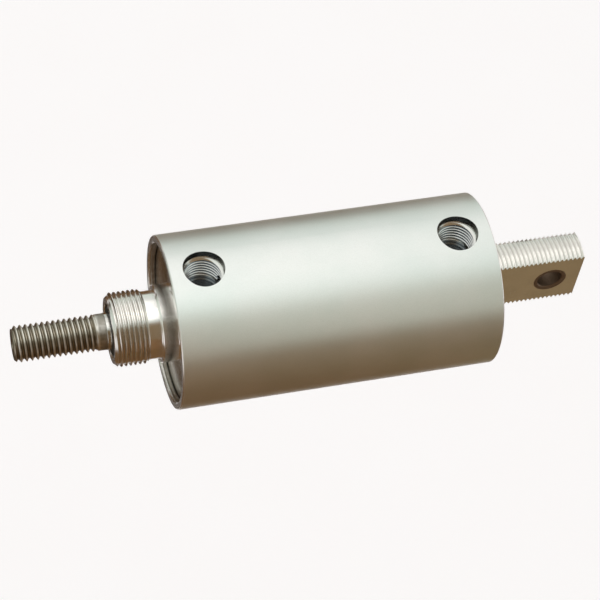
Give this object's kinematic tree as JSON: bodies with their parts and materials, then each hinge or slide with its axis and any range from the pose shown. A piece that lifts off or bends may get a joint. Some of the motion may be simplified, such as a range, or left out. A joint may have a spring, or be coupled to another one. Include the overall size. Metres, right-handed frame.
{
  "type": "round body pneumatic cylinder",
  "caption": "Small double-acting pneumatic cylinder with a plain round tube, a threaded nose, a threaded rod, side ports and a flatted pivot tang.",
  "frame": {"origin": "centre of the pivot bore in the tang, on the axis of the tube", "axes": "+X along the axis, the way the rod extends; Y along the pivot bore; +Z out of the ports"},
  "size_m": [0.1864, 0.056, 0.056],
  "materials": {
    "tube_aluminium": "satin",
    "head_aluminium": "satin",
    "rod_steel": "satin",
    "plated_steel": "satin",
    "spring_steel": "satin",
    "sintered_bronze": "matte",
    "seal_rubber": "matte",
    "bumper_rubber": "matte",
    "band_plastic": "matte"
  },
  "bodies": {
    "barrel": {"tube": "tube_aluminium", "front_head": "head_aluminium", "rear_head": "head_aluminium", "pivot_bushing": "sintered_bronze", "front_retaining_ring": "spring_steel", "rear_retaining_ring": "spring_steel", "front_head_o_ring": "seal_rubber", "rear_head_o_ring": "seal_rubber", "rod_bushing": "sintered_bronze", "rod_wiper": "seal_rubber", "rod_seal": "seal_rubber", "seal_retainer": "plated_steel", "front_bumper": "bumper_rubber", "rear_bumper": "bumper_rubber"},
    "piston_seals": {"piston_cup_front": "seal_rubber", "piston_cup_rear": "seal_rubber", "piston_wear_band": "band_plastic"},
    "rod": {"piston_rod": "rod_steel", "piston": "head_aluminium", "piston_nut": "plated_steel", "piston_rod_o_ring": "seal_rubber"}
  },
  "joints": [
    {"name": "rod_slide", "type": "slide", "parent": "barrel", "child": "piston_seals", "axis": [1, 0, 0], "range_m": [0, 0.03]},
    {"name": "rod_spin", "type": "hinge", "parent": "piston_seals", "child": "rod", "pos_m": [0.06, 0, 0], "axis": [1, 0, 0], "continuous": true}
  ]
}
